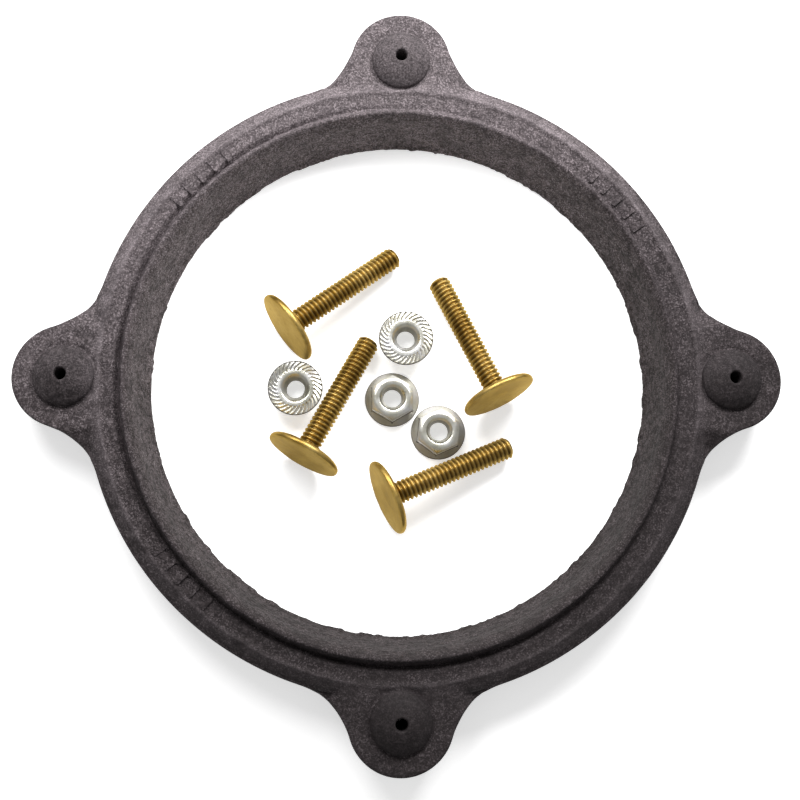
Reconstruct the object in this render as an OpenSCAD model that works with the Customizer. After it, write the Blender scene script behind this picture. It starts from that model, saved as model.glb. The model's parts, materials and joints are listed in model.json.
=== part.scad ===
// Four-eared toilet flange ring with its loose bolts and flange nuts.
// Millimetres, +Z up. The origin is the centre of the ring's opening, on the
// plane that the ring, the bolts and the nuts lie on.

/* [Ring] */
// Radius of the round opening at its lower edge
opening_r = 68.8; // [50:0.1:90]
// Outer radius of the ring between the ears
ring_r = 84.2; // [60:0.1:120]
// Height of the flat band on the upper side
band_z = 14.7; // [8:0.1:25]
// Height of the raised crest round the opening
crest_z = 16.8; // [10:0.1:28]
// Radius of the middle of the crest
crest_r = 73.6; // [55:0.1:110]
// Radius where the flat band ends and the outer shoulder starts
shoulder_r = 79.6; // [60:0.1:115]
// Height at which the shoulder meets the outer wall
wall_z = 12.3; // [5:0.1:20]

/* [Ears] */
// Number of ears
ear_count = 4; // [2:1:8]
// Radius of the circle that the four screw holes lie on
hole_circle_r = 89.3; // [70:0.1:130]
// Radius of each ear's rounded end
ear_r = 13.8; // [9:0.1:20]
// Radius of the concave blend between ear and ring
ear_fillet_r = 20.0; // [5:0.1:30]
// Radius of the domed boss on an ear
boss_r = 8.1; // [5:0.1:12]
// Height of the boss above the ear
boss_h = 4.1; // [1:0.1:8]
// Radius of the hole through an ear
hole_r = 1.6; // [0.8:0.05:4]

/* [Raised bars] */
// Number of plain raised bars in each group on the band
bar_count = 5; // [0:1:12]
// Height of the bars above the band
bar_h = 0.35; // [0.1:0.05:1]
// Angle between neighbouring bars
bar_step = 3.4; // [2:0.1:8]

/* [Bolts] */
// Length of a bolt from the outer face of its head to its tip
bolt_len = 38.1; // [20:0.1:80]
// Radius of the thin round head
head_r = 10.3; // [6:0.05:16]
// Thickness of the head
head_t = 2.1; // [1:0.05:5]
// Radius of the plain shank, which is that of the real thread's crests
shank_r = 3.1; // [2:0.05:6]

/* [Nuts] */
// Height of a nut
nut_h = 6.0; // [4:0.1:10]
// Radius of the nut's flange
flange_r = 7.55; // [5:0.05:12]
// Thickness of the flange at its rim
flange_t = 0.8; // [0.4:0.05:2]
// Width of the hexagon across its flats
nut_af = 11.1; // [7:0.05:18]
// Radius of the threaded hole at the thread's tips
nut_bore_r = 2.55; // [1.5:0.05:6]
// Number of teeth on the underside of the flange
teeth = 30; // [12:1:48]
// Depth of the grooves between the teeth
tooth_d = 0.3; // [0.1:0.05:0.6]

/* [Hidden] */
$fn = 96;

// How far a cut runs past the face that it goes through.
past = 1;
// How far a raised part reaches down into the body below it.
root = 1;

rubber = [0.27, 0.25, 0.26];
brass = [0.72, 0.57, 0.28];
zinc = [0.78, 0.78, 0.75];

// The flat top of an ear is level with the band.
ear_z = band_z;
// Where the ear's blend circle is centred: it runs a hair into ring and ear, so
// that the faces cross cleanly.
blend_in = 0.05;
blend_a = ring_r + ear_fillet_r - blend_in;
blend_b = ear_r + ear_fillet_r - blend_in;
blend_x = (blend_a * blend_a - blend_b * blend_b + hole_circle_r * hole_circle_r)
    / (2 * hole_circle_r);
blend_y = sqrt(blend_a * blend_a - blend_x * blend_x);
// The ear's web starts inside the ring's body, under the shoulder's ridge.
ridge_h = 0.4;
web_k = (shoulder_r + ridge_h) / blend_a;

// Sphere that the boss is cut from.
boss_edge_h = 0.7;
cap_h = boss_h - boss_edge_h;
cap_r = (boss_r * boss_r + cap_h * cap_h) / (2 * cap_h);
cap_steps = 16;
// Small lead-in at the top of the hole.
hole_lead = 0.3;

// The bar groups stand on the band between these radii and at these angles.
bar_r0 = 75.9;
bar_r1 = 79.2;
bar_w = 0.9;
bar_groups = [33, 128, 216];

// A bolt lies on the rim of its head, this far from the head's outer face, and on
// its tip, where the chamfer starts.
rim_s = 0.9;
tip_chamfer = 0.8;
lie_angle = atan((head_r - shank_r) / (bolt_len - tip_chamfer - rim_s));
lie_z = (head_r + rim_s * tan(lie_angle)) * cos(lie_angle);

// Place of each bolt: x and y of the head's centre, and the heading of the tip.
bolt_place = [[-31.3, 13.9, 36.8], [-26.3, -20.9, 61.3],
    [27.0, -4.6, 115.5], [-4.2, -32.0, 22.9]];
// Place of each nut: x, y, turn about its axis, and 1 when its teeth face up.
nut_place = [[1.7, 12.4, 0, 1], [-28.7, -1.7, 0, 1],
    [-2.0, -4.2, 0, 0], [10.8, -13.3, -6, 0]];

// Half section of the ring's body, from the lower inner edge outward.
ring_section = [
    [opening_r, 0], [opening_r, 0.9],
    [opening_r + 0.5, 1.7], [opening_r + 1.0, 3.6],
    [opening_r + 1.6, 6.4], [opening_r + 2.2, 9.0],
    [opening_r + 2.5, 11.2], [opening_r + 2.7, 12.8],
    [opening_r + 3.1, 14.4], [crest_r - 1.0, 15.8],
    [crest_r - 0.5, crest_z - 0.3], [crest_r, crest_z],
    [crest_r + 0.5, crest_z - 0.3], [crest_r + 1.0, band_z + 0.5],
    [crest_r + 1.5, band_z],
    [shoulder_r - 0.3, band_z], [shoulder_r + 0.3, band_z + ridge_h],
    [shoulder_r + 1.0, band_z + ridge_h], [ring_r - 1.3, wall_z + 1.5],
    [ring_r - 0.3, wall_z + 0.6], [ring_r, wall_z],
    [ring_r, 0.6], [ring_r - 0.6, 0]];

// Half section of the boss: a short wall and a spherical cap.
boss_section = concat(
    [[0, -root], [boss_r, -root], [boss_r, boss_edge_h]],
    [for (i = [1 : cap_steps])
        let (x = boss_r * (1 - i / cap_steps))
        [x, boss_edge_h + sqrt(cap_r * cap_r - x * x) - (cap_r - cap_h)]]);

// Half section of a bolt, standing on its head.
bolt_section = [
    [0, 0], [head_r - 0.35, 0], [head_r, 0.35], [head_r, rim_s],
    [head_r - 0.3, 1.45], [head_r - 1.0, 1.85], [head_r - 2.2, head_t],
    [shank_r, head_t], [shank_r, bolt_len - tip_chamfer],
    [shank_r - tip_chamfer, bolt_len], [0, bolt_len]];

// Half sections of the nut: what rounds off its hexagon, its flange and its hole.
nut_hex_r = nut_af / 2 / cos(30);
cone_z = flange_t + 1.1;
nut_cap = [[0, 0], [flange_r, 0], [flange_r, flange_t],
    [nut_hex_r, cone_z], [nut_hex_r, nut_h - 0.9],
    [nut_af / 2 - 0.7, nut_h], [0, nut_h]];
nut_flange = [[0, 0], [flange_r - 0.25, 0], [flange_r, 0.25],
    [flange_r, flange_t], [nut_af / 2 + 0.1, cone_z], [0, cone_z]];
nut_hole = [[0, -past], [nut_bore_r + 1.55, -past], [nut_bore_r + 1.45, 0],
    [nut_bore_r, 1.3], [nut_bore_r, nut_h - 0.8],
    [nut_bore_r + 0.9, nut_h], [nut_bore_r + 1.0, nut_h + past], [0, nut_h + past]];
// Grooves between the teeth: a square bar on edge, half sunk in the flange's face,
// cuts each one, from this radius outward and at this slant.
groove_r0 = 4.9;
groove_slant = 35;
groove_side = tooth_d * sqrt(2);

module ring_body() {
    rotate_extrude($fn = 180) polygon(ring_section);
}

// One ear along +X: round end, web with concave blends, and boss.
module ear_body() {
    translate([hole_circle_r, 0, 0]) cylinder(r = ear_r, h = ear_z);
    difference() {
        linear_extrude(ear_z) polygon([
            [blend_x * web_k, blend_y * web_k], [blend_x, blend_y],
            [hole_circle_r, 0],
            [blend_x, -blend_y], [blend_x * web_k, -blend_y * web_k]]);
        for (side = [-1, 1])
            translate([blend_x, side * blend_y, -past])
                cylinder(r = ear_fillet_r, h = ear_z + 2 * past);
    }
    translate([hole_circle_r, 0, ear_z])
        rotate_extrude() polygon(boss_section);
}

module ear_hole() {
    translate([hole_circle_r, 0, -past])
        cylinder(r = hole_r, h = ear_z + boss_h + 2 * past);
    translate([hole_circle_r, 0, ear_z + boss_h - hole_lead])
        cylinder(r1 = hole_r, r2 = hole_r + hole_lead * 2, h = hole_lead * 2);
}

// One group of plain raised bars on the band.
module bar_group(start) {
    for (i = [0 : bar_count - 1])
        rotate([0, 0, start + i * bar_step])
            translate([bar_r0, -bar_w / 2, band_z - root])
                cube([bar_r1 - bar_r0, bar_w, root + bar_h]);
}

module flange_ring() {
    color(rubber)
        difference() {
            union() {
                ring_body();
                for (i = [0 : ear_count - 1])
                    rotate([0, 0, i * 360 / ear_count]) ear_body();
                for (start = bar_groups) bar_group(start);
            }
            for (i = [0 : ear_count - 1])
                rotate([0, 0, i * 360 / ear_count]) ear_hole();
        }
}

// A bolt lying down, with the centre of its head over the given place.
module bolt(place) {
    color(brass)
        translate([place[0], place[1], lie_z])
            rotate([0, 90 + lie_angle, place[2]])
                rotate_extrude($fn = 64) polygon(bolt_section);
}

// A serrated flange nut standing on its flange, or on its hexagon when turned.
module nut_solid() {
    difference() {
        union() {
            rotate_extrude() polygon(nut_flange);
            intersection() {
                cylinder(r = nut_hex_r, h = nut_h, $fn = 6);
                rotate_extrude() polygon(nut_cap);
            }
        }
        rotate_extrude() polygon(nut_hole);
        for (i = [0 : teeth - 1])
            rotate([0, 0, i * 360 / teeth])
                translate([groove_r0, 0, 0])
                    rotate([45, 0, groove_slant])
                        translate([0, -groove_side / 2, -groove_side / 2])
                            cube([flange_r, groove_side, groove_side]);
    }
}

module nut(place) {
    color(zinc)
        translate([place[0], place[1], place[3] * nut_h])
            rotate([place[3] * 180, 0, place[2]])
                nut_solid();
}

module bolt_1() { bolt(bolt_place[0]); }
module bolt_2() { bolt(bolt_place[1]); }
module bolt_3() { bolt(bolt_place[2]); }
module bolt_4() { bolt(bolt_place[3]); }
module nut_1() { nut(nut_place[0]); }
module nut_2() { nut(nut_place[1]); }
module nut_3() { nut(nut_place[2]); }
module nut_4() { nut(nut_place[3]); }

flange_ring();
bolt_1();
bolt_2();
bolt_3();
bolt_4();
nut_1();
nut_2();
nut_3();
nut_4();
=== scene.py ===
"""Looks of the toilet flange kit: a four-eared rubber ring with loose brass bolts and zinc nuts.

Everything is in metres, in the CAD's frame. The shapes are worked out in millimetres and scaled once.
"""

import json
import math
from types import SimpleNamespace

import bpy
import numpy as np
from mathutils import Matrix, Vector, noise

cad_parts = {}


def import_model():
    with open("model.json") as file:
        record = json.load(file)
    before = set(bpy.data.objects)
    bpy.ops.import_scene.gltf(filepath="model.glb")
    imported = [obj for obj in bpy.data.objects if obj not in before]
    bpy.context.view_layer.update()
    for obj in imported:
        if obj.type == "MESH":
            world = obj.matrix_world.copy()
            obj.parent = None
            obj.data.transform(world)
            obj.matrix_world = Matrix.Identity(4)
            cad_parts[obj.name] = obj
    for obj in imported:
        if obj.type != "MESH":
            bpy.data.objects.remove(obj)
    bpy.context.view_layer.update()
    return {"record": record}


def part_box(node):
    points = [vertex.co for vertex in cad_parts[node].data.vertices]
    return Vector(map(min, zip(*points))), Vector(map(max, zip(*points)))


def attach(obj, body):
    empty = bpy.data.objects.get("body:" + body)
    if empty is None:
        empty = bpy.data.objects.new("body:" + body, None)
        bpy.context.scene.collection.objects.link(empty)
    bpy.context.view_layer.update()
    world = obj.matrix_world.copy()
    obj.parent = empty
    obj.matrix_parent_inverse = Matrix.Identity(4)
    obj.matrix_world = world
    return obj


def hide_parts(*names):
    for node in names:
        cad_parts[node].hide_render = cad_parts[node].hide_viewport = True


MM = 0.001

# Ring, in millimetres.
OPENING_R = 68.8
RING_R = 84.2
EAR_FILLET_R = 20.0
BAND_Z = 14.7
CREST_R = 73.6
CREST_Z = 16.8
SHOULDER_R = 79.6
WALL_Z = 12.3
RIDGE_R = SHOULDER_R + 0.8
RIDGE_Z = BAND_Z + 0.45
EDGE_ROUND = 0.9
FOOT_INSET = 0.7
FOOT_Z = 0.03

# Bosses, and the cuts in the ring's top and underside for them. A boss's foot covers the lower cut.
BOSS_R = 8.1
BOSS_H = 4.1
BOSS_EDGE_H = 0.7
TOP_CUT_R = 6.6
FOOT_CUT_R = 2.6
FOOT_CUT_Z = 2.0
BOSS_FOOT_W = 4.2

# Groove outside the lip, deepest at one angle in degrees, and the moat round each boss.
GROOVE_R = 75.5
GROOVE_D = 1.5
GROOVE_MIDDLE = 205.0
MOAT_D = 0.4

# Bars on the band: where each group starts and the step from bar to bar, in degrees.
BAR_GROUPS = (33.0, 128.0, 216.0)
BAR_COUNT = 5
BAR_STEP = 3.4
BAR_R0 = 75.9
BAR_R1 = 79.2
BAR_W = 0.9
BAR_COLS = 14
# Rows of a bar's rounded side: height above the band, and how far the row stands out.
BAR_ROWS = ((-0.4, 0.1), (0.02, 0.05), (0.2, -0.02), (0.31, -0.14), (0.35, -0.3))

# Bolts, in millimetres, and the heading of each tip in degrees.
BOLT_HEADING = {"bolt_1": 36.8, "bolt_2": 61.3, "bolt_3": 115.5, "bolt_4": 22.9}
BOLT_LEN = 38.1
HEAD_R = 10.3
HEAD_T = 2.1
RIM_S = 0.9
HEAD_CHAMFER = 0.35
THREAD_R = 3.1
THREAD_D = 0.6
PITCH = 1.27
TIP_CHAMFER = 0.8
BOLT_COLS = 72
# How far a bolt tips forward when it lies on its head's rim and its tip.
LIE_ANGLE = math.atan((HEAD_R - THREAD_R) / (BOLT_LEN - TIP_CHAMFER - RIM_S))

# Nuts: turn about the axis in degrees, and whether the teeth face up.
NUTS = {
    "nut_1": (0, True),
    "nut_2": (12, True),
    "nut_3": (0, False),
    "nut_4": (-6, False),
}
NUT_H = 6.0
FLANGE_R = 7.55
FLANGE_T = 0.8
CONE_H = 1.1
NUT_AF = 11.1
NUT_BORE_R = 2.55
NUT_COLS = 360
TEETH = 30
TOOTH_R0 = 4.9
# How many teeth a groove crosses on its way to the rim.
TOOTH_LEAN = 1.76

# Stage: camera in metres and radians, and strengths of the light.
CAMERA_DISTANCE = 0.3111
LEAN_X = 0.0377
LEAN_Y = 0.1469
WORLD_LIGHT = 0.36
FLOOR_HALF = 6.0
FLOOR_GLOW = 0.5
DARK_SPOT_R = 4.0


# ---------------------------------------------------------------- mesh helpers

def smoothstep(a, b, x):
    """0 below a, 1 above b, and smooth between them."""
    t = np.clip((np.asarray(x, float) - a) / (b - a), 0.0, 1.0)
    return t * t * (3.0 - 2.0 * t)


def circle_angles(cols):
    """Angles of points evenly round a circle."""
    return np.linspace(0.0, 2.0 * math.pi, cols, endpoint=False)


def revolve(rows, phi):
    """Rows of (radius, height) turned round +Z at the angles phi, as rows by columns by three."""
    pts = np.empty((len(rows), len(phi), 3))
    for i, (r, z) in enumerate(rows):
        pts[i, :, 0] = r * np.cos(phi)
        pts[i, :, 1] = r * np.sin(phi)
        pts[i, :, 2] = z
    return pts


def axis_distance(pts):
    """Distance of each point from the Z axis."""
    return np.hypot(pts[:, 0], pts[:, 1])


def grid_faces(rows, cols, wrap_rows=False):
    """Quads of a grid whose columns wrap round, and whose rows may too."""
    faces = []
    last = rows if wrap_rows else rows - 1
    for i in range(last):
        a = i * cols
        b = ((i + 1) % rows) * cols
        for j in range(cols):
            k = (j + 1) % cols
            faces.append((a + j, a + k, b + k, b + j))
    return faces


def flipped(faces):
    """The same faces, turned to look the other way."""
    return [f[::-1] for f in faces]


def new_piece(name, verts, faces, material, smooth_angle, crest=None):
    """A mesh object from points in millimetres. crest is a mask from 0 to 1; the metals darken where it is
    low, partly as painted shade.
    """
    mesh = bpy.data.meshes.new(name)
    mesh.from_pydata([tuple(v) for v in np.asarray(verts, float) * MM], [], faces)
    mesh.update()
    mesh.shade_smooth()
    obj = bpy.data.objects.new(name, mesh)
    bpy.context.scene.collection.objects.link(obj)
    mesh.materials.append(material)
    mesh.set_sharp_from_angle(angle=math.radians(smooth_angle))
    if crest is not None:
        layer = mesh.attributes.new("crest", "FLOAT", "POINT")
        layer.data.foreach_set("value", np.asarray(crest, float))
    return obj


def fractal(points, scale, octaves, seed):
    """Smooth noise from about -1 to 1 at each point, with features about 1/scale millimetres wide."""
    shift = Vector((seed * 17.3, seed * 5.1, seed * 9.7))
    out = np.empty(len(points))
    for i, p in enumerate(points):
        out[i] = noise.fractal(Vector(p) * scale + shift, 0.6, 2.1, octaves)
    return out


def polyline(points, spacing):
    """Points along a path of straight runs, no further apart than spacing."""
    out = []
    for (r0, z0), (r1, z1) in zip(points, points[1:]):
        n = max(1, int(math.ceil(math.hypot(r1 - r0, z1 - z0) / spacing)))
        for i in range(n):
            t = i / n
            out.append((r0 + (r1 - r0) * t, z0 + (z1 - z0) * t))
    out.append(points[-1])
    return np.array(out)


def soften(path, passes):
    """Rounds a path's corners, with its ends held."""
    path = path.copy()
    for _ in range(passes):
        path[1:-1] = (path[:-2] + 2.0 * path[1:-1] + path[2:]) / 4.0
    return path


# ---------------------------------------------------------------- ring

def ear_angles(count):
    """Angle of each ear round the ring."""
    return [2.0 * math.pi * i / count for i in range(count)]


def ear_centres(hole_circle, count):
    """Place of each ear's hole."""
    return [(hole_circle * math.cos(a), hole_circle * math.sin(a)) for a in ear_angles(count)]


def column_angles(count):
    """Angles round the ring, closer together on the flanks of its four ears."""
    half = np.concatenate([
        np.arange(0.0, 7.0, 0.35), np.arange(7.0, 10.0, 0.12),
        np.arange(10.0, 18.0, 0.3), np.arange(18.0, 45.0, 0.4)])
    quarter = np.concatenate([half, 90.0 - half[::-1][:-1]])
    full = np.concatenate([quarter + 360.0 / count * i for i in range(count)])
    return np.radians(np.unique(np.round(full, 5)))


def outline_radius(theta, hole_circle, ear_r, count):
    """Distance from the axis to the outer edge: ring, blend or ear."""
    step = 2.0 * math.pi / count
    t = np.abs((theta + step / 2.0) % step - step / 2.0)
    a = RING_R + EAR_FILLET_R
    b = ear_r + EAR_FILLET_R
    blend_x = (a * a - b * b + hole_circle * hole_circle) / (2.0 * hole_circle)
    blend_y = math.sqrt(a * a - blend_x * blend_x)
    blend_t = math.atan2(blend_y, blend_x)
    touch_t = math.atan2(blend_y * ear_r / b, hole_circle + (blend_x - hole_circle) * ear_r / b)
    out = np.full(len(t), RING_R)
    on_blend = (t < blend_t) & (t >= touch_t)
    d = t[on_blend] - blend_t
    out[on_blend] = a * np.cos(d) - np.sqrt(np.maximum(EAR_FILLET_R ** 2 - (a * np.sin(d)) ** 2, 0.0))
    on_ear = t < touch_t
    out[on_ear] = hole_circle * np.cos(t[on_ear]) + np.sqrt(
        np.maximum(ear_r ** 2 - (hole_circle * np.sin(t[on_ear])) ** 2, 0.0))
    return out


def inner_path():
    """Section from the foot of the opening, over the crest and the band, to the shoulder's ridge."""
    r = OPENING_R
    path = polyline([
        (r, 0.05), (r, 0.9), (r + 0.5, 1.7), (r + 1.0, 3.6), (r + 1.6, 6.4),
        (r + 2.2, 9.0), (r + 2.45, 11.0), (r + 2.75, 12.8), (r + 3.2, 14.3),
        (CREST_R - 1.15, 15.5), (CREST_R - 0.6, CREST_Z - 0.3), (CREST_R, CREST_Z + 0.05),
        (CREST_R + 0.5, CREST_Z - 0.25), (CREST_R + 1.0, BAND_Z + 0.5), (CREST_R + 1.4, BAND_Z),
        (SHOULDER_R - 0.4, BAND_Z), (SHOULDER_R + 0.2, BAND_Z + 0.4), (RIDGE_R, RIDGE_Z)], 0.42)
    return soften(path, 2)


def shoulder_z(r):
    """Height of the ring's own outer shoulder at radius r."""
    return np.interp(r, [RIDGE_R, RING_R - 1.4, RING_R - 0.4, RING_R],
                     [RIDGE_Z, WALL_Z + 1.5, WALL_Z + 0.6, WALL_Z - 0.4])


def outer_rows(edge):
    """Rows of (radius, height) from the ridge to the outer edge and down to the floor."""
    rise = smoothstep(1.0, 7.0, edge - RING_R)
    ear_z = WALL_Z + (BAND_Z - WALL_Z) * rise
    blend = 0.35
    rows = []
    for t in np.linspace(0.0, 1.0, 43)[1:]:
        r = RIDGE_R + (edge - EDGE_ROUND - RIDGE_R) * t
        own = shoulder_z(r)
        mixed = blend * np.logaddexp(own / blend, ear_z / blend)
        z = np.where(rise > 0.001, own + (mixed - own) * smoothstep(0.0, 0.3, rise), own)
        rows.append((r, np.minimum(z, RIDGE_Z)))
    z_last = rows[-1][1]
    for a in np.linspace(0.0, math.pi / 2.0, 6)[1:]:
        rows.append((edge - EDGE_ROUND + EDGE_ROUND * math.sin(a), z_last - EDGE_ROUND * (1.0 - math.cos(a))))
    z_wall = rows[-1][1]
    for t in np.linspace(0.0, 1.0, 12)[1:]:
        rows.append((edge, z_wall + (0.8 - z_wall) * t))
    return rows + [(edge - 0.2, 0.25), (edge - FOOT_INSET, FOOT_Z)]


def ring_points(theta, hole_circle, ear_r, count):
    """All rows of the ring's surface: inside, top, outside and underside."""
    edge = outline_radius(theta, hole_circle, ear_r, count)
    rows = list(inner_path()) + outer_rows(edge)
    for t in (0.75, 0.5, 0.25):
        rows.append((OPENING_R + (edge - FOOT_INSET - OPENING_R) * t, FOOT_Z))
    return revolve(rows, theta)


def sink_grooves(flat, r, centres):
    """A groove outside the lip, deepest on the left, and a shallow moat round each boss."""
    angle = np.degrees(np.arctan2(flat[:, 1], flat[:, 0]))
    turn = np.abs((angle - GROOVE_MIDDLE + 180.0) % 360.0 - 180.0)
    depth = GROOVE_D * (0.15 + 0.85 * (1.0 - smoothstep(65.0, 125.0, turn)))
    top = smoothstep(BAND_Z - 1.5, BAND_Z - 0.5, flat[:, 2])
    sink = depth * np.exp(-((r - GROOVE_R) / 0.62) ** 2)
    for x, y in centres:
        away = np.hypot(flat[:, 0] - x, flat[:, 1] - y)
        sink = sink + MOAT_D * np.exp(-((away - BOSS_R - 0.35) / 0.6) ** 2)
    flat[:, 2] -= sink * top


def roughen_ring(pts, centres):
    """Uneven moulded surface, with torn flash along the foot of the opening."""
    flat = pts.reshape(-1, 3)
    r = axis_distance(flat)
    sink_grooves(flat, r, centres)
    outward = flat[:, :2] / r[:, None]
    foot = (1.0 - smoothstep(0.6, 2.6, flat[:, 2])) * (1.0 - smoothstep(69.6, 71.5, r))
    wall = (1.0 - smoothstep(71.0, 73.0, r)) * (1.0 - foot)
    waves = fractal(flat, 0.055, 2, 1.0)
    lumps = fractal(flat, 0.55, 3, 2.0)
    grain = fractal(flat, 1.6, 2, 3.0)
    torn = 0.42 * np.tanh(np.maximum(fractal(flat, 0.22, 3, 4.0) - 0.10, 0.0) * 2.2)
    radial = foot * (0.10 * lumps + 0.07 * grain - torn) + wall * (0.14 * lumps + 0.25 * waves)
    body = (1.0 - foot) * (1.0 - wall) * (flat[:, 2] > 1.0)
    inside = smoothstep(0.3, 1.2, flat[:, 2])
    lift = body * (0.05 * lumps + 0.04 * grain + 0.10 * waves) - 0.12 * body + wall * 0.03 * grain
    flat[:, :2] += outward * radial[:, None]
    flat[:, 2] += inside * lift
    return pts


def in_cut(centre, hole_centres):
    """Whether a face centred there gives way to a boss, on the ring's top, or to its foot, below."""
    near = min(math.hypot(centre[0] - x, centre[1] - y) for x, y in hole_centres)
    return near <= (TOP_CUT_R if centre[2] > FOOT_CUT_Z else FOOT_CUT_R)


def make_ring(material, hole_circle, ear_r, count):
    """The ring with its ears, as one closed band of rows, cut where the bosses stand."""
    centres = ear_centres(hole_circle, count)
    pts = roughen_ring(ring_points(column_angles(count), hole_circle, ear_r, count), centres)
    rows, cols = pts.shape[:2]
    flat = pts.reshape(-1, 3)
    faces = [f for f in grid_faces(rows, cols, wrap_rows=True) if not in_cut(flat[list(f)].mean(0), centres)]
    return new_piece("ring_body", flat, flipped(faces), material, 60.0)


def boss_path(hole_r):
    """Section from the skirt inside the ear, over the dome, down the hole, and out to the foot's edge."""
    cap_h = BOSS_H - BOSS_EDGE_H
    cap_r = (BOSS_R ** 2 + cap_h ** 2) / (2.0 * cap_h)
    path = [(BOSS_R - 1.2, -1.0), (BOSS_R - 0.05, -0.6), (BOSS_R, 0.0), (BOSS_R - 0.02, BOSS_EDGE_H * 0.6)]
    for r in np.linspace(BOSS_R - 0.15, hole_r + 0.45, 22):
        path.append((r, BOSS_EDGE_H + math.sqrt(cap_r ** 2 - r * r) - (cap_r - cap_h)))
    top = path[-1][1]
    path += [(hole_r + 0.18, top - 0.08), (hole_r, top - 0.4)]
    path += [(hole_r, top - 0.4 - (top - 0.8 + BAND_Z - 0.3) * t) for t in np.linspace(0.1, 1.0, 10)]
    return path + [(hole_r + 0.15, 0.02 - BAND_Z), (hole_r + BOSS_FOOT_W, -BAND_Z)]


def make_boss(name, centre, hole_r, material, seed):
    """Domed boss with a lead-in, its hole down to the floor, and a skirt inside the ear."""
    path = boss_path(hole_r)
    cols = 96
    pts = revolve(path, circle_angles(cols)).reshape(-1, 3)
    bump = fractal(pts, 0.5, 3, seed)
    fine = fractal(pts, 1.7, 2, seed + 1.0)
    r = axis_distance(pts)
    amount = smoothstep(-0.5, 0.4, pts[:, 2]) * smoothstep(hole_r, hole_r + 1.5, r)
    pts[:, 2] -= amount * (0.10 + 0.09 * bump + 0.05 * fine)
    near_edge = smoothstep(BOSS_R - 1.5, BOSS_R, r) * smoothstep(-1.0, 0.0, pts[:, 2])
    pts[:, :2] *= (1.0 + near_edge * 0.012 * (bump - 0.4))[:, None]
    pts += np.array([centre[0], centre[1], BAND_Z])
    return new_piece(name, pts, grid_faces(len(path), cols), material, 60.0)


def bar_row(angle, z, grow):
    """One row of points round a bar, at height z, at the given angle round the ring."""
    row = []
    for a in circle_angles(BAR_COLS):
        x = (BAR_R1 - BAR_R0) / 2.0 * math.copysign(abs(math.cos(a)) ** 0.35, math.cos(a))
        y = BAR_W / 2.0 * math.copysign(abs(math.sin(a)) ** 0.35, math.sin(a))
        x += math.copysign(grow, x)
        y += math.copysign(grow if abs(y) > 0.1 else 0.0, y)
        x += (BAR_R0 + BAR_R1) / 2.0
        row.append((x * math.cos(angle) - y * math.sin(angle), x * math.sin(angle) + y * math.cos(angle), z))
    return row


def add_bar(verts, faces, angle):
    """Adds one bar with a rounded top, standing in the band."""
    base = len(verts)
    for z, grow in BAR_ROWS:
        verts += bar_row(angle, BAND_Z + z - 0.05, grow)
    faces += [tuple(base + v for v in f) for f in grid_faces(len(BAR_ROWS), BAR_COLS)]
    faces.append(tuple(range(len(verts) - BAR_COLS, len(verts))))


def make_bars(material):
    """Plain raised bars on the band, in groups, as one piece."""
    verts, faces = [], []
    for start in BAR_GROUPS:
        for i in range(BAR_COUNT):
            add_bar(verts, faces, math.radians(start + i * BAR_STEP))
    return new_piece("band_bars", verts, faces, material, 50.0)


# ---------------------------------------------------------------- bolts

def thread_ridge(turn, root_w, flank_w):
    """Height of a thread from 0 at its root to 1 at its crest, one turn wide."""
    x = np.abs((turn % 1.0) - 0.5) * 2.0
    return np.clip((x - root_w) / flank_w, 0.0, 1.0)


def thread_radius(s, phi):
    """Radius of the helical thread at distance s along the bolt and angle phi round it."""
    start = HEAD_T + 0.8
    turn = (s - start) / PITCH - phi / (2.0 * math.pi)
    fade = smoothstep(start - 0.6, start + 0.9, s)
    return THREAD_R - THREAD_D + THREAD_D * thread_ridge(turn, 0.22, 0.62) * fade


def bolt_rows(phi):
    """Rows of a bolt standing on its head along +Z, from the head's face to the tip."""
    rows = [(0.02, 0.03), (3.0, 0.03), (6.0, 0.02), (8.0, 0.01), (HEAD_R - 0.9, 0.0), (HEAD_R - 0.4, 0.05),
            (HEAD_R - 0.12, 0.2), (HEAD_R, 0.45), (HEAD_R, 0.7), (HEAD_R, RIM_S), (HEAD_R - 0.1, 1.15),
            (HEAD_R - 0.3, 1.42), (HEAD_R - 0.6, 1.66), (HEAD_R - 1.0, 1.84), (HEAD_R - 1.6, 1.98),
            (HEAD_R - 2.4, HEAD_T - 0.03), (6.0, HEAD_T), (THREAD_R + 0.9, HEAD_T),
            (THREAD_R + 0.3, HEAD_T + 0.06), (THREAD_R - 0.2, HEAD_T + 0.25),
            (THREAD_R - THREAD_D + 0.05, HEAD_T + 0.5)]
    for s in np.arange(HEAD_T + 0.55, BOLT_LEN - 0.02, PITCH / 11.0):
        limit = THREAD_R - TIP_CHAMFER * smoothstep(BOLT_LEN - TIP_CHAMFER, BOLT_LEN, s)
        rows.append((np.minimum(thread_radius(s, phi), limit), s))
    return rows + [(THREAD_R - TIP_CHAMFER - 0.05, BOLT_LEN), (0.9, BOLT_LEN), (0.02, BOLT_LEN)]


def bolt_tarnish_and_shade_mask(pts):
    """0 at the thread's root and 1 at its crest, and between them on the head, least on its flat face; where
    it is low the brass gets tarnish and painted shade.
    """
    on_thread = np.clip((axis_distance(pts) - THREAD_R + THREAD_D) / THREAD_D, 0.0, 1.0)
    on_shank = (pts[:, 2] > HEAD_T + 0.1) & (pts[:, 2] < BOLT_LEN - 0.05)
    return np.where(on_shank, on_thread, np.where(pts[:, 2] < 0.1, 0.48, 0.8))


def reach(along):
    """How far a plain bolt reaches from its head's centre along an axis of the frame.

    along is the part of the bolt's own direction that lies along that axis, from -1 to 1.
    """
    outline = [(HEAD_R - HEAD_CHAMFER, 0.0), (HEAD_R, HEAD_CHAMFER), (HEAD_R, RIM_S),
               (THREAD_R, BOLT_LEN - TIP_CHAMFER), (THREAD_R - TIP_CHAMFER, BOLT_LEN)]
    across = math.sqrt(1.0 - along * along)
    return max(r * across + s * along for r, s in outline)


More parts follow.
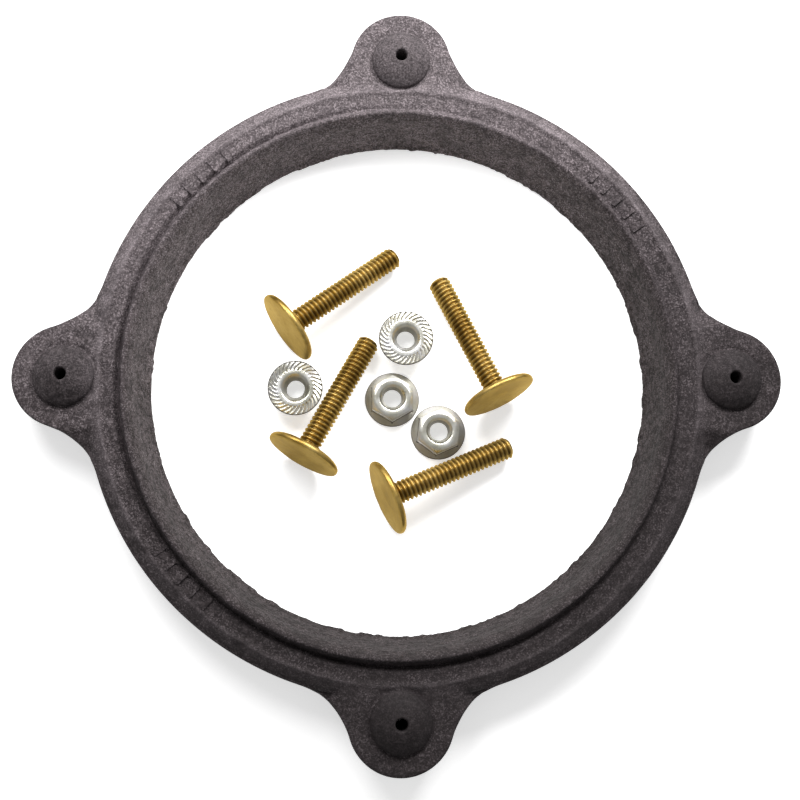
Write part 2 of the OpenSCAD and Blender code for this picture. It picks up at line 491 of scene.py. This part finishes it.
def head_centre(name):
    """x and y of the head's centre, so that a plain bolt just fills its box in the CAD."""
    low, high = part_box(name)
    heading = math.radians(BOLT_HEADING[name])
    place = []
    for axis, part in enumerate((math.cos(heading), math.sin(heading))):
        along = part * math.cos(LIE_ANGLE)
        place.append(((low[axis] + high[axis]) / MM - reach(along) + reach(-along)) / 2.0)
    return place


def lying_matrix(name):
    """Places a standing bolt so that it lies on its head's rim and its tip."""
    x, y = head_centre(name)
    z = (HEAD_R + RIM_S * math.tan(LIE_ANGLE)) * math.cos(LIE_ANGLE)
    return (Matrix.Translation((x, y, z)) @ Matrix.Rotation(math.radians(BOLT_HEADING[name]), 4, "Z")
            @ Matrix.Rotation(math.pi / 2.0 + LIE_ANGLE, 4, "Y"))


def make_bolt(name, material, seed):
    """Round-headed bolt with a helical thread, slightly dented, lying down."""
    phi = circle_angles(BOLT_COLS)
    rows = bolt_rows(phi)
    pts = revolve(rows, phi).reshape(-1, 3)
    crest = bolt_tarnish_and_shade_mask(pts)
    dents = fractal(pts, 0.35, 3, seed)
    on_head = smoothstep(HEAD_T + 0.2, HEAD_T - 0.2, pts[:, 2])
    r = axis_distance(pts)
    pts[:, 2] += np.where(pts[:, 2] < 0.1, 0.05 + 0.04 * dents, 0.0) * smoothstep(0.3, 2.0, r)
    keep = 1.0 - on_head * smoothstep(6.0, 10.0, r) * np.maximum(0.004 * dents + 0.002, 0.0)
    pts[:, :2] *= keep[:, None]
    place = lying_matrix(name) @ Matrix.Rotation(seed * 1.7, 4, "Z")
    world = np.array([place @ Vector(p) for p in pts])
    faces = flipped(grid_faces(len(rows), BOLT_COLS))
    faces.append(tuple(range(BOLT_COLS))[::-1])
    faces.append(tuple(range(len(pts) - BOLT_COLS, len(pts))))
    return new_piece(name + "_piece", world, faces, material, 35.0, crest)


# ---------------------------------------------------------------- nuts

def hex_radius(phi):
    """Distance from the axis to the hexagon's wall."""
    a = (phi + math.pi / 6.0) % (math.pi / 3.0) - math.pi / 6.0
    return NUT_AF / 2.0 / np.cos(a)


def groove_depth(r, phi):
    """Slanted saw teeth on the flange's face: 0 at a tooth's top, up to 1 in the groove."""
    lean = TOOTH_LEAN * (r - TOOTH_R0) / (FLANGE_R - TOOTH_R0)
    x = (phi * TEETH / (2.0 * math.pi) - lean) % 1.0
    saw = np.where(x < 0.72, x / 0.72, (1.0 - x) / 0.28)
    return (1.0 - saw) * smoothstep(TOOTH_R0, TOOTH_R0 + 0.5, r)


def cone_height(r):
    """Height of the flange's cone at radius r."""
    slope = CONE_H / (FLANGE_R - NUT_AF / 2.0 - 0.1)
    return np.minimum(FLANGE_T + slope * (FLANGE_R - r), FLANGE_T + CONE_H)


def flange_rows(phi):
    """Rows of a nut standing on its flange: lead-in of the hole, toothed face, rim and cone."""
    rows = [(NUT_BORE_R + 0.1, 1.35), (NUT_BORE_R + 0.5, 0.85), (NUT_BORE_R + 1.0, 0.4),
            (3.9, 0.06), (4.05, 0.0), (4.4, 0.0)]
    for r in np.linspace(4.75, FLANGE_R - 0.18, 12):
        rows.append((r, 0.38 * groove_depth(r, phi)))
    edge = 0.3 * groove_depth(FLANGE_R, phi)
    rows += [(FLANGE_R - 0.05, 0.12 + edge), (FLANGE_R, np.maximum(0.3, 0.2 + edge)), (FLANGE_R, 0.62),
             (FLANGE_R - 0.08, 0.78), (FLANGE_R - 0.3, 0.86)]
    cone_r = FLANGE_R - 0.3
    for t in (0.3, 0.6, 0.9):
        r = cone_r + (hex_radius(phi) + 0.15 - cone_r) * t
        rows.append((r, cone_height(r)))
    return rows


def hexagon_rows(phi):
    """Rows of the hexagon's walls and of its rounded top, in to the hole."""
    wall = hex_radius(phi)
    foot = cone_height(wall)
    top = NUT_H - np.maximum(wall - (NUT_AF / 2.0 - 0.35), 0.0) * 0.75 - 0.15
    flat_r = NUT_AF / 2.0 - 0.75
    rows = [(wall + 0.05, foot + 0.05)]
    for t in (0.15, 0.5, 0.85, 1.0):
        rows.append((wall, foot + 0.2 + (top - foot - 0.2) * t))
    return rows + [
        (wall - 0.12, top + 0.1), ((wall + flat_r) / 2.0, (top + NUT_H) / 2.0 + 0.03),
        (flat_r, NUT_H - 0.02), (flat_r - 0.2, NUT_H), (NUT_BORE_R + 1.25, NUT_H),
        (NUT_BORE_R + 1.05, NUT_H - 0.08), (NUT_BORE_R + 0.7, NUT_H - 0.5), (NUT_BORE_R + 0.3, NUT_H - 0.85)]


def hole_rows(phi):
    """Rows of the thread in the hole, from the top down."""
    rows = []
    for z in np.arange(NUT_H - 1.0, 1.4, -PITCH / 8.0):
        turn = z / PITCH - phi / (2.0 * math.pi)
        rows.append((NUT_BORE_R + 0.5 * thread_ridge(turn, 0.25, 0.7), z))
    return rows


def nut_shade_mask(pts):
    """Low in the grooves, on the flange's cone and rim, at the hexagon's foot and in the hole, where the zinc
    gets painted shade and painted dark outlines.
    """
    r = axis_distance(pts)
    z = pts[:, 2]
    wall = hex_radius(np.arctan2(pts[:, 1], pts[:, 0]))
    out = np.where((r > 4.5) & (z < 0.55), 1.0 - z / 0.5, 0.8)
    out = np.where((r > wall + 0.05) & (z > 0.7) & (z < 2.0), 0.38, out)
    out = np.where(r > FLANGE_R - 0.3, 0.12, out)
    out = np.where((np.abs(r - wall) < 0.22) & (z < 2.3) & (z > 1.0), 0.10, out)
    out = np.where((r > wall - 0.2) & (z > NUT_H - 1.2), 0.45, out)
    return np.where(r < NUT_BORE_R + 0.6, 0.35, out)


def make_nut(name, turn, teeth_up, material, seed):
    """Serrated flange nut, in the middle of its box in the CAD."""
    low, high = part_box(name)
    centre = (low + high) / 2.0 / MM
    phi = circle_angles(NUT_COLS)
    rows = flange_rows(phi) + hexagon_rows(phi) + hole_rows(phi)
    pts = revolve(rows, phi).reshape(-1, 3)
    wobble = fractal(pts, 0.3, 2, seed)
    pts[:, :2] *= (1.0 - 0.002 * (1.0 + wobble))[:, None]
    crest = nut_shade_mask(pts)
    place = Matrix.Rotation(math.radians(turn), 4, "Z")
    if teeth_up:
        place = Matrix.Translation((0.0, 0.0, NUT_H)) @ Matrix.Rotation(math.pi, 4, "X") @ place
    place = Matrix.Translation((centre.x, centre.y, low.z / MM)) @ place
    world = np.array([place @ Vector(p) for p in pts])
    faces = flipped(grid_faces(len(rows), NUT_COLS, wrap_rows=True))
    return new_piece(name + "_piece", world, faces, material, 28.0, crest)


# ---------------------------------------------------------------- materials

class Nodes:
    """Short ways to add and link shader nodes."""

    def __init__(self, name):
        self.material = bpy.data.materials.new(name)
        self.material.use_nodes = True
        self.tree = self.material.node_tree
        self.tree.nodes.clear()
        output = self.add("ShaderNodeOutputMaterial")
        self.shader = self.add("ShaderNodeBsdfPrincipled")
        self.link(self.shader.outputs[0], output.inputs["Surface"])
        self.coords = self.add("ShaderNodeTexCoord").outputs["Object"]

    def add(self, kind, **values):
        node = self.tree.nodes.new(kind)
        for key, value in values.items():
            setattr(node, key, value)
        return node

    def link(self, a, b):
        self.tree.links.new(a, b)

    def fill(self, value, socket):
        """Links a socket, or sets it to a colour or a number."""
        if isinstance(value, bpy.types.NodeSocket):
            self.link(value, socket)
        elif isinstance(value, tuple):
            socket.default_value = (*value, 1.0)
        else:
            socket.default_value = value

    def noise(self, scale, detail, rough, vector=None):
        node = self.add("ShaderNodeTexNoise")
        node.inputs["Scale"].default_value = scale
        node.inputs["Detail"].default_value = detail
        node.inputs["Roughness"].default_value = rough
        self.link(vector or self.coords, node.inputs["Vector"])
        return node.outputs["Fac"]

    def ramp(self, value, *stops):
        """Colours at the given positions, blended between them."""
        node = self.add("ShaderNodeValToRGB")
        ramp = node.color_ramp
        while len(ramp.elements) < len(stops):
            ramp.elements.new(0.5)
        for element, (position, colour) in zip(ramp.elements, stops):
            element.position = position
            element.color = (*colour, 1.0)
        self.link(value, node.inputs["Fac"])
        return node.outputs["Color"]

    def fade(self, value, *stops):
        """A ramp of greys, for amounts."""
        return self.ramp(value, *[(position, grey(level)) for position, level in stops])

    def mix(self, amount, a, b):
        node = self.add("ShaderNodeMix", data_type="RGBA")
        self.fill(amount, node.inputs["Factor"])
        self.fill(a, node.inputs[6])
        self.fill(b, node.inputs[7])
        return node.outputs[2]

    def math(self, kind, a, b=0.0):
        node = self.add("ShaderNodeMath", operation=kind)
        self.fill(a, node.inputs[0])
        self.fill(b, node.inputs[1])
        return node.outputs[0]

    def times(self, a, b):
        return self.math("MULTIPLY", a, b)

    def square_sum(self, a, b):
        return self.math("ADD", self.times(a, a), self.times(b, b))

    def bump(self, height, strength, distance, normal=None):
        node = self.add("ShaderNodeBump")
        node.inputs["Strength"].default_value = strength
        node.inputs["Distance"].default_value = distance
        self.link(height, node.inputs["Height"])
        if normal is not None:
            self.link(normal, node.inputs["Normal"])
        return node.outputs["Normal"]

    def xyz(self):
        """The three object coordinates, in metres."""
        split = self.add("ShaderNodeSeparateXYZ")
        self.link(self.coords, split.inputs[0])
        return split.outputs[0], split.outputs[1], split.outputs[2]

    def around_axis(self):
        """Distance from the ring's axis and height, in metres, and the angle round it, in radians."""
        x, y, z = self.xyz()
        return self.math("SQRT", self.square_sum(x, y)), z, self.math("ARCTAN2", y, x)

    def along_ring(self, dx, dy):
        """Place across the ring in the direction (dx, dy): 0 at one side, 1 at the other."""
        x, y, _ = self.xyz()
        across = self.math("ADD", self.times(x, dx), self.times(y, dy))
        return self.math("ADD", self.times(across, 0.5 / (RING_R * MM)), 0.5)

    def crest(self):
        """The crest mask from 0 to 1: low in grooves and where painted shade goes, high on crests."""
        return self.add("ShaderNodeAttribute", attribute_name="crest").outputs["Fac"]


def grey(v):
    """A grey as a colour."""
    return (v, v, v)


def rubber_noises(n):
    """The noises that the rubber's colours and bumps share, and where on the ring a point is."""
    radius, height, angle = n.around_axis()
    rings = n.add("ShaderNodeCombineXYZ")
    n.link(n.times(angle, 0.018), rings.inputs[0])
    n.link(radius, rings.inputs[1])
    n.link(height, rings.inputs[2])
    return SimpleNamespace(
        decimetres=n.times(radius, 10.0),
        far_side=n.along_ring(-0.35, 0.94),
        streak=n.noise(1500.0, 3.0, 0.6, rings.outputs[0]),
        cloud=n.noise(38.0, 4.0, 0.6),
        blotch=n.noise(210.0, 4.0, 0.6),
        mottle=n.noise(720.0, 3.0, 0.65),
        speck=n.noise(2100.0, 2.0, 0.7),
        fine=n.noise(3600.0, 2.0, 0.6))


def rubber_ground(n, look):
    """Dark ground colour, mottled, and patchy on the opening's wall."""
    inner = n.fade(look.decimetres, (0.715, 1.0), (0.735, 0.0))
    base = n.ramp(look.cloud, (0.3, (0.019, 0.0148, 0.0155)), (0.7, (0.038, 0.0305, 0.0325)))
    base = n.mix(n.fade(look.blotch, (0.42, 0.0), (0.7, 0.5)), base, (0.068, 0.056, 0.0595))
    base = n.mix(n.times(inner, 0.6), base, (0.036, 0.0285, 0.0240))
    base = n.mix(n.fade(look.mottle, (0.48, 0.0), (0.62, 0.45)), base, (0.125, 0.104, 0.108))
    patches = n.times(inner, n.fade(look.blotch, (0.42, 0.0), (0.62, 0.55)))
    base = n.mix(patches, base, (0.105, 0.088, 0.088))
    stains = n.times(inner, n.fade(look.mottle, (0.40, 0.7), (0.52, 0.0)))
    return n.mix(stains, base, (0.012, 0.009, 0.008))


def rubber_wear(n, look, base, boss_shade):
    """Pale dust, scuffs that run round the ring, a rubbed shoulder that also carries a painted highlight
    along its ridge, and dark pits.
    """
    dusty = n.fade(look.blotch, (0.32, 0.15), (0.68, 1.0))
    dust = n.times(n.fade(look.speck, (0.52, 0.0), (0.63, 1.0)), dusty)
    # Less pale dust where the painted shade of a boss is set.
    base = n.mix(n.times(dust, 0.66 - boss_shade), base, (0.35, 0.300, 0.315))
    scuff = n.times(n.fade(look.streak, (0.55, 0.0), (0.72, 1.0)), 0.30)
    base = n.mix(scuff, base, (0.18, 0.155, 0.162))
    # Rubbed wear and a painted highlight along the shoulder's ridge.
    rub_and_highlight = n.fade(look.decimetres, (0.796, 0.0), (0.803, 1.0), (0.812, 0.6), (0.835, 0.15), (0.86, 0.0))
    rub_and_highlight = n.times(rub_and_highlight, n.fade(look.blotch, (0.35, 0.2), (0.65, 1.0)))
    base = n.mix(n.times(rub_and_highlight, 0.42), base, (0.25, 0.216, 0.228))
    pits = n.fade(look.fine, (0.33, 1.0), (0.46, 0.0))
    return n.mix(n.times(pits, 0.75), base, (0.006, 0.005, 0.005))


def rubber_side_light_and_shade(n, look, base):
    """Painted shade and light: darker rubber towards the near side, and pale bloom specks heaviest towards
    the far side, where the light falls strongest.
    """
    # Painted shade: the near side darkened.
    near_side_shade = n.fade(look.far_side, (0.18, 0.66), (0.50, 0.34), (0.80, 0.0))
    base = n.mix(near_side_shade, base, (0.010, 0.008, 0.008))
    # Painted light: pale specks, heavier towards the far side.
    specks = n.fade(look.speck, (0.4, 0.2), (0.62, 1.0))
    far_side_light_specks = n.times(n.fade(look.far_side, (0.62, 0.0), (0.98, 0.30)), specks)
    return n.mix(far_side_light_specks, base, (0.30, 0.258, 0.272))


def rubber_material(name, boss_shade):
    """Dark grey-brown moulded rubber with a fine pale bloom. The last argument is painted shade: 0 on the
    ring, more on a boss, whose rubber it darkens and keeps freer of pale dust.
    """
    n = Nodes(name)
    look = rubber_noises(n)
    base = rubber_wear(n, look, rubber_ground(n, look), boss_shade)
    # Painted light and shade by side of the ring.
    base = rubber_side_light_and_shade(n, look, base)
    # Painted shade: the rubber darkened on the bosses.
    base = n.mix(boss_shade, base, (0.004, 0.0035, 0.0035))
    n.link(base, n.shader.inputs["Base Color"])
    n.link(n.fade(look.blotch, (0.3, 0.70), (0.7, 0.88)), n.shader.inputs["Roughness"])
    n.shader.inputs["Specular IOR Level"].default_value = 0.14
    normal = n.bump(look.blotch, 0.45, 0.0006)
    normal = n.bump(look.speck, 0.65, 0.00022, normal)
    n.link(n.bump(look.streak, 0.35, 0.0002, normal), n.shader.inputs["Normal"])
    return n.material


def brass_material():
    """Plain brass with uneven tarnish, fine handling marks, and thread roots darkened by tarnish and painted
    shade, with some painted shade on the head's flat face.
    """
    n = Nodes("bolt_brass")
    cloud = n.noise(90.0, 4.0, 0.6)
    fine = n.noise(900.0, 3.0, 0.65)
    base = n.ramp(cloud, (0.36, (0.25, 0.155, 0.036)), (0.50, (0.40, 0.270, 0.076)),
                  (0.66, (0.53, 0.380, 0.130)))
    marks = n.times(n.fade(fine, (0.5, 0.0), (0.72, 1.0)), 0.45)
    base = n.mix(marks, base, (0.21, 0.120, 0.035))
    # Tarnish and painted shade in the thread roots, and painted shade on the head's flat face.
    base = n.mix(n.fade(n.crest(), (0.05, 0.80), (0.75, 0.0)), base, (0.085, 0.050, 0.013))
    n.link(base, n.shader.inputs["Base Color"])
    n.shader.inputs["Metallic"].default_value = 1.0
    n.shader.inputs["Specular Tint"].default_value = (0.88, 0.77, 0.52, 1.0)
    n.link(n.fade(cloud, (0.3, 0.38), (0.7, 0.50)), n.shader.inputs["Roughness"])
    normal = n.bump(fine, 0.3, 0.00012)
    n.link(n.bump(cloud, 0.2, 0.0005, normal), n.shader.inputs["Normal"])
    return n.material


def zinc_material():
    """Zinc plate with a faint yellow cast and small darker patches, painted shade in its grooves, hole and
    creases, and painted dark outlines on its rims and edges, which are also rougher.
    """
    n = Nodes("nut_zinc")
    cloud = n.noise(160.0, 4.0, 0.6)
    fine = n.noise(1500.0, 3.0, 0.6)
    base = n.ramp(cloud, (0.3, (0.60, 0.58, 0.46)), (0.5, (0.74, 0.73, 0.65)), (0.7, (0.78, 0.78, 0.80)))
    marks = n.times(n.fade(fine, (0.5, 0.0), (0.75, 1.0)), 0.45)
    base = n.mix(marks, base, (0.52, 0.50, 0.42))
    # Painted shade in grooves, hole and creases, and painted dark outlines on the rims; the same mask makes
    # them rougher.
    painted_shade_and_matte = n.fade(n.crest(), (0.15, 0.90), (0.7, 0.0))
    base = n.mix(painted_shade_and_matte, base, (0.13, 0.12, 0.105))
    n.link(base, n.shader.inputs["Base Color"])
    n.shader.inputs["Metallic"].default_value = 1.0
    rough = n.fade(cloud, (0.3, 0.24), (0.7, 0.38))
    n.link(n.mix(painted_shade_and_matte, rough, grey(0.80)), n.shader.inputs["Roughness"])
    n.link(n.bump(fine, 0.25, 0.0001), n.shader.inputs["Normal"])
    return n.material


def floor_material(hole_circle):
    """White floor that glows a little, except in a dark spot under each of the four ears' holes."""
    n = Nodes("floor_white")
    soft = n.noise(6.0, 2.0, 0.5)
    n.link(n.fade(soft, (0.3, 0.86), (0.7, 0.88)), n.shader.inputs["Base Color"])
    n.shader.inputs["Roughness"].default_value = 0.9
    n.shader.inputs["Specular IOR Level"].default_value = 0.1
    n.shader.inputs["Emission Color"].default_value = (1.0, 1.0, 1.0, 1.0)
    x, y, _ = n.xyz()
    x, y = n.math("ABSOLUTE", x), n.math("ABSOLUTE", y)
    along = n.math("SUBTRACT", n.math("MAXIMUM", x, y), hole_circle * MM)
    away_squared = n.square_sum(along, n.math("MINIMUM", x, y))
    outside = n.math("GREATER_THAN", away_squared, (DARK_SPOT_R * MM) ** 2)
    n.link(n.times(outside, FLOOR_GLOW), n.shader.inputs["Emission Strength"])
    return n.material


# ---------------------------------------------------------------- stage

def make_floor(hole_circle):
    """A flat square floor under the part."""
    s = FLOOR_HALF
    mesh = bpy.data.meshes.new("floor")
    mesh.from_pydata([(-s, -s, 0.0), (s, -s, 0.0), (s, s, 0.0), (-s, s, 0.0)], [], [(0, 1, 2, 3)])
    mesh.materials.append(floor_material(hole_circle))
    obj = bpy.data.objects.new("floor", mesh)
    bpy.context.scene.collection.objects.link(obj)


def make_camera():
    """Almost straight down, leaning a little to the near side, as in the photograph."""
    data = bpy.data.cameras.new("camera")
    data.sensor_width = 36.0
    data.lens = 50.0
    data.shift_x = 0.0011
    data.shift_y = -0.0183
    data.clip_start = 0.01
    back = Vector((-math.sin(LEAN_X), -math.sin(LEAN_Y), 1.0)).normalized()
    right = Vector((0.0, 1.0, 0.0)).cross(back).normalized()
    turn = Matrix((right, back.cross(right), back)).transposed().to_4x4()
    obj = bpy.data.objects.new("camera", data)
    obj.matrix_world = Matrix.Translation(back * CAMERA_DISTANCE) @ turn
    bpy.context.scene.collection.objects.link(obj)
    bpy.context.scene.camera = obj


def add_area(name, place, size, power):
    """A round white light that faces the part."""
    data = bpy.data.lights.new(name, "AREA")
    data.shape = "DISK"
    data.size = size
    data.energy = power
    obj = bpy.data.objects.new(name, data)
    obj.location = place
    obj.rotation_euler = (-Vector(place)).to_track_quat("-Z", "Y").to_euler()
    bpy.context.scene.collection.objects.link(obj)


def make_light():
    """Even white surroundings, and two soft lights on the far side."""
    world = bpy.data.worlds.new("studio")
    bpy.context.scene.world = world
    world.use_nodes = True
    background = world.node_tree.nodes["Background"]
    background.inputs["Color"].default_value = (1.0, 1.0, 1.0, 1.0)
    background.inputs["Strength"].default_value = WORLD_LIGHT
    add_area("key", (0.16, 0.27, 0.24), 0.16, 1.8)
    add_area("fill", (-0.12, 0.24, 0.28), 0.24, 1.5)
    bpy.context.scene.view_settings.view_transform = "Standard"


# ---------------------------------------------------------------- build

def put(piece, body, node):
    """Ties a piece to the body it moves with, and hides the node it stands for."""
    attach(piece, body)
    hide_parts(node)


def build_ring(circle, hole_circle):
    """The ring, its bosses and its bars."""
    count = int(circle["count"])
    ear_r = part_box("flange_ring")[1].x / MM - hole_circle
    rubber = rubber_material("ring_rubber", 0.0)
    # The bosses get a darker copy of the rubber, as painted shade.
    boss_rubber_painted_shade = rubber_material("boss_rubber_painted_shade", 0.3)
    put(make_ring(rubber, hole_circle, ear_r, count), "ring", "flange_ring")
    for i, centre in enumerate(ear_centres(hole_circle, count)):
        boss = make_boss(f"ear_boss_{i + 1}", centre, circle["hole_r_mm"], boss_rubber_painted_shade, 11.0 + 3.0 * i)
        put(boss, "ring", "flange_ring")
    put(make_bars(rubber), "ring", "flange_ring")


def build_fasteners():
    """The loose bolts and nuts."""
    brass = brass_material()
    for i, name in enumerate(BOLT_HEADING):
        put(make_bolt(name, brass, 21.0 + i), name, name)
    zinc = zinc_material()
    for i, (name, (turn, teeth_up)) in enumerate(NUTS.items()):
        put(make_nut(name, turn, teeth_up, zinc, 31.0 + i), name, name)


def main():
    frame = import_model()
    mounts = {m["name"]: m for m in frame["record"]["mounts"]}
    circle = mounts["ear_hole_circle"]["dims"]
    hole_circle = circle["pcd_mm"] / 2.0

    make_camera()
    make_light()
    make_floor(hole_circle)
    build_ring(circle, hole_circle)
    build_fasteners()


main()
